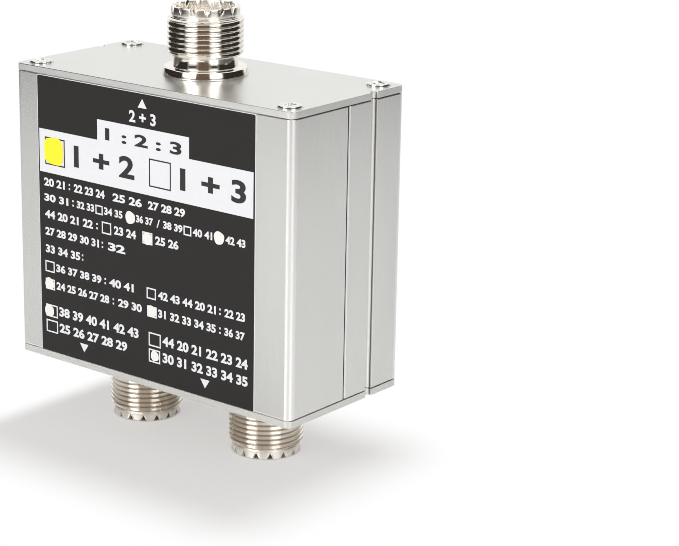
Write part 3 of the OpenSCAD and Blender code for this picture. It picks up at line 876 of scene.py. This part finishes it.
class Ink:
    """Collects flat shapes of one colour, and makes them one piece of thin solids."""

    def __init__(self, layer):
        self.layer = layer
        self.points = []
        self.faces = []
        self.count = 0

    def add(self, points, faces):
        """Keeps a shape, with its faces counted on from the ones before."""
        self.points.append(on_label(points, self.layer))
        self.faces += [[int(i) + self.count for i in face] for face in faces]
        self.count += len(points)

    def outline(self, corners, low=0.0, high=INK):
        """A flat outline between two levels: the same ring twice, joined by its sides."""
        ring = np.asarray(corners, float)
        n = len(ring)
        levels = [np.column_stack([ring, np.full(n, w)]) for w in (low, high)]
        sides = grid_faces(2, n, closed_rows=False)
        self.add(np.vstack(levels), [*sides, np.arange(n)[::-1], np.arange(n, 2 * n)])

    def bar(self, u0, v0, u1, v1):
        """A filled box."""
        self.outline([(u0, v0), (u1, v0), (u1, v1), (u0, v1)])

    def frame(self, u0, v0, u1, v1, line):
        """A hollow box: four bars that meet at its corners."""
        self.bar(u0, v0, u1, v0 + line)
        self.bar(u0, v1 - line, u1, v1)
        self.bar(u0, v0 + line, u0 + line, v1 - line)
        self.bar(u1 - line, v0 + line, u1, v1 - line)

    def blob(self, u, v, half_u, half_v, wobble, power):
        """A rounded spot laid on by hand: a superellipse whose radius wanders a little."""
        t = np.linspace(0, 2 * np.pi, BLOB_POINTS, endpoint=False)
        reach = 1 + wobble * (np.sin(3 * t + u) + 0.6 * np.sin(5 * t + 2 * v))
        c, s = np.cos(t), np.sin(t)
        ring = np.column_stack([
            u + half_u * reach * np.sign(c) * np.abs(c) ** power,
            v + half_v * reach * np.sign(s) * np.abs(s) ** power,
        ])
        self.outline(ring)

    def figures(self, text, u0, u1, v, height, bold):
        """Plain figures from the built-in font, fitted between u0 and u1 with their feet at v."""
        curve = bpy.data.curves.new("figures", "FONT")
        curve.body = text
        curve.offset = bold
        curve.extrude = 0.5
        curve.resolution_u = 4
        writer = bpy.data.objects.new("figures", curve)
        mesh = bpy.data.meshes.new_from_object(writer)
        points = np.zeros(len(mesh.vertices) * 3)
        mesh.vertices.foreach_get("co", points)
        points = points.reshape(-1, 3)
        low, high = points.min(0), points.max(0)
        fit = np.array([(u1 - u0), height, INK]) / (high - low)
        self.add((points - low) * fit + [u0, v, 0], [p.vertices for p in mesh.polygons])
        bpy.data.objects.remove(writer)
        bpy.data.curves.remove(curve)
        bpy.data.meshes.remove(mesh)

    def print_on(self, name, material, *nodes):
        """Makes one piece of all the shapes."""
        points = np.vstack(self.points)
        return new_piece(name, points, self.faces, material, "label_film", *nodes)


# %% Film: it covers the shell from joint to joint
FILM_CORNER, FILM_MARGIN = 0.3, 0.2
film_foot = shell_low[2] - label_low[2]
base_head = shell_high[2] - label_low[2]
film_head = (base_head + label_h) / 2
film_back = label_low[1] - label_high[1]


def film_ring(margin, head):
    """The rounded outline of a film with a margin at its sides."""
    left, right = -margin, label_w + margin
    corners = [(left, film_foot), (right, film_foot), (right, head), (left, head)]
    return eased(np.array(corners), FILM_CORNER)


base = Ink(layer=0)
base.outline(film_ring(FILM_MARGIN, base_head), low=film_back, high=film_back / 2)
base.print_on("label_film_base", white_ink)
film = Ink(layer=0)
film.outline(film_ring(0, film_head), low=film_back / 2, high=0.0)
film.print_on("label_film_cut", label_film, "face_label")

# %% White ink: the band with its tab, the arrows and the figures
white = Ink(layer=0)
BAND = (0.35, 39.7, label_w - 0.35, 49.1)
TAB = (17.5, 49.1, 43.0, 53.5)
white.outline([
    (BAND[0], BAND[1]), (BAND[2], BAND[1]), (BAND[2], BAND[3]), (TAB[2], BAND[3]),
    (TAB[2], TAB[3]), (TAB[0], TAB[3]), (TAB[0], BAND[3]), (BAND[0], BAND[3]),
])
ARROW_HALF, ARROW_H = 1.25, 1.9
UPPER_ARROW, LOWER_ARROWS = (30.3, 57.6), [(12.8, 1.6), (47.3, 1.6)]
BOLD, ROW_BOLD = 0.03, 0.04
u, v = UPPER_ARROW
white.outline([(u - ARROW_HALF, v), (u + ARROW_HALF, v), (u, v + ARROW_H)])
for u, v in LOWER_ARROWS:
    white.outline([(u, v), (u + ARROW_HALF, v + ARROW_H), (u - ARROW_HALF, v + ARROW_H)])
white.figures("2 + 3", 26.6, 34.0, 54.3, 2.5, BOLD)
print("white shapes so far", len(white.points))

# %% White ink: rows of counting numbers
FIGURE_ROWS = [
    # foot and height of the figures, then the start and end of each group
    (36.7, 1.8, [(1.5, 7.7), (10.4, 19.4), (21.7, 30.0), (31.7, 41.9)]),
    (33.35, 1.65, [(1.5, 8.7), (11.2, 16.3), (19.2, 24.5), (28.3, 33.1)]),
    (33.35, 1.65, [(35.9, 41.2), (44.0, 49.2), (52.7, 57.9)]),
    (29.6, 1.85, [(1.6, 15.9), (22.0, 28.3), (33.7, 40.1)]),
    (25.8, 1.8, [(1.6, 17.6), (20.2, 25.2)]),
    (21.9, 1.8, [(1.6, 12.0)]),
    (18.0, 1.8, [(4.7, 18.2), (20.5, 27.5), (34.4, 50.2), (52.5, 57.9)]),
    (14.05, 1.8, [(4.7, 20.4), (23.0, 29.8), (34.4, 50.2), (52.5, 57.9)]),
    (8.15, 2.15, [(5.4, 28.8), (35.6, 58.7)]),
    (4.5, 2.15, [(5.4, 25.5), (35.6, 58.7)]),
]
COLONS = [
    (9.1, 36.9), (10.1, 33.5), (17.1, 29.8), (18.6, 26.0), (12.7, 22.1),
    (19.3, 18.2), (51.3, 18.2), (21.6, 14.2), (51.3, 14.2),
]
POINT_HALF, POINT_GAP = 0.2, 0.95
SLASH = [(34.1, 33.3), (34.4, 33.3), (35.0, 35.0), (34.7, 35.0)]
FIRST, COUNT, SQUEEZE = 20, 25, 1.9
used = 0
for foot, tall, groups in FIGURE_ROWS:
    for u0, u1 in groups:
        many = max(1, round((u1 - u0) / (SQUEEZE * tall)))
        numbers = [str(FIRST + (used + i) % COUNT) for i in range(many)]
        white.figures(" ".join(numbers), u0, u1, foot, tall, ROW_BOLD)
        used += many
for u, v in COLONS:
    for foot in (v, v + POINT_GAP):
        white.bar(u - POINT_HALF, foot, u + POINT_HALF, foot + 2 * POINT_HALF)
white.outline(SLASH)
print(used, "numbers on the label")

# %% White ink: check boxes, and dots of paint on the chosen ones
LINE = 0.3
BOXES = [
    (16.7, 33.1, 18.8, 35.1), (41.5, 33.1, 43.6, 35.1), (18.5, 29.2, 21.2, 31.8),
    (30.1, 29.2, 32.9, 31.8), (1.4, 17.6, 4.2, 20.1), (1.4, 13.7, 4.2, 16.1),
    (31.2, 17.6, 33.8, 20.0), (31.3, 13.7, 34.0, 16.1), (1.4, 7.5, 4.9, 10.3),
    (1.4, 4.0, 4.9, 6.8), (31.7, 7.4, 35.1, 10.4), (31.7, 3.9, 34.9, 6.8),
]
for box in BOXES:
    white.frame(*box, LINE)
white.print_on("label_white_print", white_ink)

dots = Ink(layer=1)
DOTS = [
    (26.7, 34.05, 1.35), (51.0, 34.2, 1.35), (31.5, 30.4, 1.25), (2.6, 15.0, 1.3),
    (32.6, 15.0, 1.25), (2.4, 8.9, 1.35), (33.4, 5.4, 1.1),
]
DOT_WOBBLE, DOT_SHAPE = 0.04, 0.9
for u, v, size in DOTS:
    dots.blob(u, v, size, size, DOT_WOBBLE, DOT_SHAPE)
dots.print_on("label_paint_dots", paint_dot)

# %% Dark and yellow ink on the band
dark = Ink(layer=1)
YELLOW_BOX = (2.0, 41.5, 7.9, 47.5)
HOLLOW_BOX = (32.1, 41.6, 38.1, 47.5)
DARK_LINE = 0.28
for box in (YELLOW_BOX, HOLLOW_BOX):
    dark.frame(*box, DARK_LINE)
BAND_FIGURES = [
    # figures, their start and end, foot and height
    ("1 + 2", 10.6, 28.0, 42.2, 4.7),
    ("1 + 3", 40.6, 58.0, 42.2, 4.7),
    ("1 : 2 : 3", 19.8, 41.0, 49.4, 2.6),
]
for row in BAND_FIGURES:
    dark.figures(*row, BOLD)
dark.print_on("label_dark_print", dark_ink)

yellow = Ink(layer=2)
YELLOW_MARK, MARK_WOBBLE, MARK_SHAPE = (4.6, 44.6, 2.75, 2.9), 0.02, 0.55
yellow.blob(*YELLOW_MARK, MARK_WOBBLE, MARK_SHAPE)
yellow.print_on("label_yellow_print", yellow_ink)

# %% [markdown]
# ## Coils
# The coils are self-supporting turns of enamelled wire with two legs to the board. A curve with a
# bevel would do, but the same idea as the ports works: a small circle carried along a line of
# points, in one array.


# %% A wire along a line
TURN_POINTS, LEG_POINTS = 48, 8


def coil_line(radius, pitch, turns, leg):
    """A leg from the board, a helix about the upright axis, and a leg back. +y is the board."""
    turn = np.linspace(0, turns, int(TURN_POINTS * turns))
    angle = np.pi + 2 * np.pi * turn
    helix = np.column_stack([radius * np.cos(angle), radius * np.sin(angle), pitch * turn])
    rise = np.linspace(leg, 0, LEG_POINTS, endpoint=False)[:, None] * np.array([0, 1, 0])
    line = np.vstack([helix[0] + rise, helix, helix[-1] + rise[::-1]])
    return line - [0, 0, pitch * turns / 2]


def wire_points(line, wire_r, sides=12):
    """Rings of radius wire_r square to the line, with a pole at each end."""
    tangent = np.gradient(line, axis=0)
    tangent /= np.linalg.norm(tangent, axis=1, keepdims=True)
    across = np.cross(tangent, [0, 0, 1])
    across /= np.linalg.norm(across, axis=1, keepdims=True)
    over = np.cross(across, tangent)
    a = np.linspace(0, 2 * np.pi, sides, endpoint=False)[None, :, None]
    rings = line[:, None] + wire_r * (np.cos(a) * across[:, None] + np.sin(a) * over[:, None])
    poles = np.repeat(line[[0, -1]][:, None], sides, 1)
    return np.concatenate([poles[:1], rings, poles[1:]])


# %% Five coils: for each kind their number, radius, wire and turns
TURN_GAP, COIL_STAND = 0.8, 1.0
COILS = {"lowpass_coil": (3, 3.6, 1.2, 3.5), "highpass_coil": (2, 2.6, 1.0, 1.5)}
for coil, (count, radius, wire_d, turns) in COILS.items():
    leg = radius + wire_d / 2 + COIL_STAND
    points = wire_points(coil_line(radius, wire_d + TURN_GAP, turns, leg), wire_d / 2)
    faces = grid_faces(*points.shape[:2], closed_rows=False)
    for number in range(1, count + 1):
        node = f"{coil}_{number}"
        low, high = box_mm(node)
        place = [(low[0] + high[0]) / 2, high[1] - leg, (low[2] + high[2]) / 2]
        new_piece(node + "_wound", points + place, faces, enamelled_wire, "coil_copper", node)

# %% [markdown]
# ## Finishes of the pieces that keep their fixed shape
# The remaining pieces are right as they are and only take a finish, by the material slot that the
# record gives each of them.

# %% Assign by slot
BY_SLOT = {
    "shell_aluminium": extrusion,
    "plate_aluminium": plate_sheet,
    "screw_steel": zinc,
    "label_film": label_film,
    "port_nickel": nickel,
    "port_insulator": fluoropolymer,
    "contact_metal": pale_gold,
    "fixing_steel": tinned,
    "nut_brass": nickel,
    "board_laminate": board_finish,
    "solder": solder_grey,
    "coil_copper": enamelled_wire,
    "lowpass_disc": ochre_lacquer,
    "highpass_disc": blue_lacquer,
}
for part in frame["record"]["subparts"]:
    materials = frame["nodes"][part["node"]].data.materials
    materials.clear()
    materials.append(BY_SLOT[part["material_slot"]])
print("fixed pieces shown", sum(not node.hide_render for node in frame["nodes"].values()))

# %% [markdown]
# ## Studio
# The object stands on a white sheet with a painted shadow: near the object the sheet is painted
# darker and glows faintly in a soft box round it, on top of the lamps' real shadow, and farther
# out it fades to plain white. In reflections the sheet shows painted shade under the case. Bright
# metal on white looks flat unless something dark stands beside it, so five dark cards out of the
# picture give the ports their dark bands. They only show in reflections, have soft edges, and
# stand farther back where the flat faces of the case would mirror them. Two soft boxes light the
# front and the right side. A third one hangs above and behind. It only lights, because its mirror
# image would burn out the top plate. The world fills the rest.

# %% Sizes and tones of the floor
# The painted shadow: a soft box round the object where the floor is painted darker and glows
# faintly, and a painted shade under the case that only reflections see.
SHADE_LEFT, SHADE_RIGHT, SHADE_FRONT, SHADE_BACK = -34, 33, -30, 10
SHADE_FADE, SHADE_EDGE = 3, (-2, 24)
PAINTED_SHADOW_PAPER = (0.29, 0.287, 0.283, 1), (0.32, 0.317, 0.313, 1)
SHADOW_GLOW = (0.47, 0.463, 0.455, 1)
WHITE_PAPER = (0.84, 0.836, 0.832, 1), (0.87, 0.866, 0.862, 1)
UNDER_CASE_SHADE = (0.52, 0.465, 0.41, 1)
VARNISH, VARNISH_ROUGH = (0.18, 0.18, 0.18, 1), 0.12
MOUTH, FOOT, UNDER = (6.6, 1.0), (9, 4), (24, 28)
FLOOR_HALF = 4000
print("shadow", SHADE_RIGHT - SHADE_LEFT, "x", SHADE_BACK - SHADE_FRONT, "mm")


# %% White floor with a painted shadow
def light_path(start, kind):
    """1 where the ray is of the given kind, and 0 elsewhere."""
    return start.node("ShaderNodeLightPath", output=kind)


def floor_distance(start, x):
    """Distance on the floor from the point (x, 0), in millimetres."""
    ends = {0: start.node("ShaderNodeTexCoord", output="Object"), 1: (x * MM, 0, 0)}
    return start.node("ShaderNodeVectorMath", ends, {"operation": "DISTANCE"}, output="Value") / MM


def outside_painted_shadow(start):
    """How far a point of the floor lies outside the painted shadow. The left side fades faster."""
    x, y = axis_mm(start, "X"), axis_mm(start, "Y")
    aside = start.math("MAXIMUM", SHADE_FADE * (SHADE_LEFT - x), x - SHADE_RIGHT)
    ahead = start.math("MAXIMUM", SHADE_FRONT - y, y - SHADE_BACK)
    aside, ahead = start.math("MAXIMUM", aside), start.math("MAXIMUM", ahead)
    return start.math("SQRT", aside * aside + ahead * ahead)


def white_floor():
    """White sheet with a thin varnish. Close to the object it carries a painted shadow: darker
    paper that glows faintly, in a soft box over the lamps' real shadow, and farther out it fades to
    plain white. Metal sees the varnish as a second image of the lamps, and painted shade under the
    case."""
    material, start = new_finish("white_floor")
    paper = grain(start, 40)
    to_ports = [floor_distance(start, x) for x in (port_x, -port_x)]
    off_mouths = step_up(to_ports[0], *MOUTH) * step_up(to_ports[1], *MOUTH)
    lit = start.node("ShaderNodeBsdfDiffuse", {"Color": mixed(paper, *PAINTED_SHADOW_PAPER)})
    glow_tone = mixed(off_mouths, (0, 0, 0, 1), SHADOW_GLOW)
    glow = start.node("ShaderNodeEmission", {"Color": glow_tone})
    shadow = start.node("ShaderNodeAddShader", {0: lit, 1: glow})
    white = start.node("ShaderNodeEmission", {"Color": (1, 1, 1, 1)})
    fade = smooth_step(outside_painted_shadow(start), *SHADE_EDGE)
    shown = start.node("ShaderNodeMixShader", {0: fade, 1: shadow, 2: white})
    # Only reflections see this: painted shade on the sheet under the case, kept off the ports'
    # feet.
    off_feet = smooth_step(to_ports[0], *FOOT) * smooth_step(to_ports[1], *FOOT)
    under = off_feet * (1 - smooth_step(floor_distance(start, 0), *UNDER))
    sheet = mixed(under, mixed(paper, *WHITE_PAPER), UNDER_CASE_SHADE)
    under_lit = start.node("ShaderNodeBsdfDiffuse", {"Color": sheet})
    gloss = {"Color": VARNISH, "Roughness": VARNISH_ROUGH}
    varnish = start.node("ShaderNodeBsdfGlossy", gloss)
    in_metal = start.node("ShaderNodeAddShader", {0: under_lit, 1: varnish})
    reflected = light_path(start, "Is Glossy Ray")
    both = start.node("ShaderNodeMixShader", {0: reflected, 1: shown, 2: in_metal})
    start.node("ShaderNodeOutputMaterial", {"Surface": both})
    return material


# %% Lay the floor
corners = np.array([(-1, -1, 0), (1, -1, 0), (1, 1, 0), (-1, 1, 0)]) * FLOOR_HALF * MM
floor_mesh = bpy.data.meshes.new("floor")
floor_mesh.from_pydata(corners.tolist(), [], [(0, 1, 2, 3)])
floor_mesh.materials.append(white_floor())
floor = bpy.data.objects.new("floor", floor_mesh)
bpy.context.scene.collection.objects.link(floor)
print("floor", 2 * FLOOR_HALF, "mm wide")


# %% Dark felt
SOFT_EDGE = 16
FELT_TONES = 0.7, 1.3


def dark_card(name, tone, first, last):
    """Dark felt whose two upright edges fade out, so that its reflections have soft edges."""
    material, start = new_finish(name)
    felt = grain(start, 30)
    darker, lighter = ((*(share * np.array(tone)), 1) for share in FELT_TONES)
    shade = mixed(felt, darker, lighter)
    glow = start.node("ShaderNodeEmission", {"Color": shade})
    clear = start.node("ShaderNodeBsdfTransparent")
    turn = start.math("ARCTAN2", axis_mm(start, "X"), 0 - axis_mm(start, "Y")) * math.degrees(1)
    solid = smooth_step(turn, first, SOFT_EDGE) * smooth_step(last - turn, 0, SOFT_EDGE)
    card = start.node("ShaderNodeMixShader", {0: solid, 1: clear, 2: glow})
    start.node("ShaderNodeOutputMaterial", {"Surface": card})
    return material


# %% Dark cards that show only in reflections
CARD_R, SET_BACK, SET_BACK_WIDTH, CARD_COLUMNS = 400, 100, 20, 25
# the front and the right side mirror the camera towards these directions
mirrored = np.degrees([-azimuth, np.pi - azimuth])
CARDS = {
    # first and last direction in degrees, lower and upper edge, tone
    "left_card": (-111, -11, 1, 400, (0.03, 0.026, 0.022)),
    "front_strip": (-29, 22, 65, 105, (0.05, 0.042, 0.036)),
    "camera_card": (4, 65, 1, 400, (0.15, 0.105, 0.075)),
    "right_strip": (47, 94, 65, 105, (0.05, 0.042, 0.036)),
    "right_card": (76, 173, 1, 400, (0.03, 0.026, 0.022)),
}
for name, (first, last, foot, head, tone) in CARDS.items():
    degrees = np.linspace(first, last, CARD_COLUMNS)
    away = np.abs(degrees[:, None] - mirrored).min(1)
    radius = CARD_R + SET_BACK * np.exp(-((away / SET_BACK_WIDTH) ** 2))
    along = np.radians(degrees)
    wall = np.column_stack([np.sin(along), -np.cos(along), 0 * along]) * radius[:, None]
    points = np.stack([wall + [0, 0, foot], wall + [0, 0, head]])
    mesh = bpy.data.meshes.new(name)
    quads = grid_faces(2, len(along), closed_rows=False)
    quads = quads[np.ptp(quads % len(along), axis=1) == 1]
    mesh.from_pydata((points.reshape(-1, 3) * MM).tolist(), [], quads.tolist())
    mesh.materials.append(dark_card(name, tone, first, last))
    card = bpy.data.objects.new(name, mesh)
    bpy.context.scene.collection.objects.link(card)
    for ray in ("camera", "diffuse", "shadow", "transmission"):
        setattr(card, "visible_" + ray, False)
print("dark cards", list(CARDS))

# %% Soft boxes
LAMPS = {
    # direction and height in degrees, distance, width and height of the lamp, watts
    "front_box": (-4, 25, 800, (560, 330), 2.85),
    "right_box": (72, 25, 800, (540, 330), 1.8),
    "top_box": (175, 60, 900, (1150, 1150), 2.8),
}


def soft_box(name, azimuth_deg, elevation_deg, distance, size, watts):
    """A flat lamp on a sphere about the object, turned towards its middle."""
    a, e = math.radians(azimuth_deg), math.radians(elevation_deg)
    way = Vector((math.sin(a) * math.cos(e), -math.cos(a) * math.cos(e), math.sin(e)))
    lamp = bpy.data.lights.new(name, "AREA")
    lamp.shape = "RECTANGLE"
    lamp.size, lamp.size_y = size[0] * MM, size[1] * MM
    lamp.energy = watts
    box = bpy.data.objects.new(name, lamp)
    middle = (cad_box[0] + cad_box[1]) / 2
    facing = way.to_track_quat("Z", "Y").to_matrix().to_4x4()
    box.matrix_world = Matrix.Translation(middle + way * distance * MM) @ facing
    box.visible_camera = False
    bpy.context.scene.collection.objects.link(box)
    return box


boxes = {name: soft_box(name, *row) for name, row in LAMPS.items()}
boxes["top_box"].visible_glossy = False
print("lamps", list(boxes))

# %% World
FILL = 0.45
world = bpy.data.worlds.new("studio")
world.use_nodes = True
world.node_tree.nodes.clear()
air = Signal(world.node_tree)
white_world = air.node("ShaderNodeBackground", {"Color": (1, 1, 1, 1), "Strength": 1.0})
fill_world = air.node("ShaderNodeBackground", {"Color": (1, 1, 1, 1), "Strength": FILL})
BACKDROP_RAYS = "Is Camera Ray", "Is Glossy Ray", "Is Transmission Ray"
seen = [light_path(air, kind) for kind in BACKDROP_RAYS]
as_backdrop = clamped(seen[0] + seen[1] + seen[2])
sky = air.node("ShaderNodeMixShader", {0: as_backdrop, 1: fill_world, 2: white_world})
air.node("ShaderNodeOutputWorld", {"Surface": sky})
bpy.context.scene.world = world
bpy.context.scene.view_settings.view_transform = "Standard"
bpy.context.scene.cycles.filter_width = 0.9
print("world", world.name)
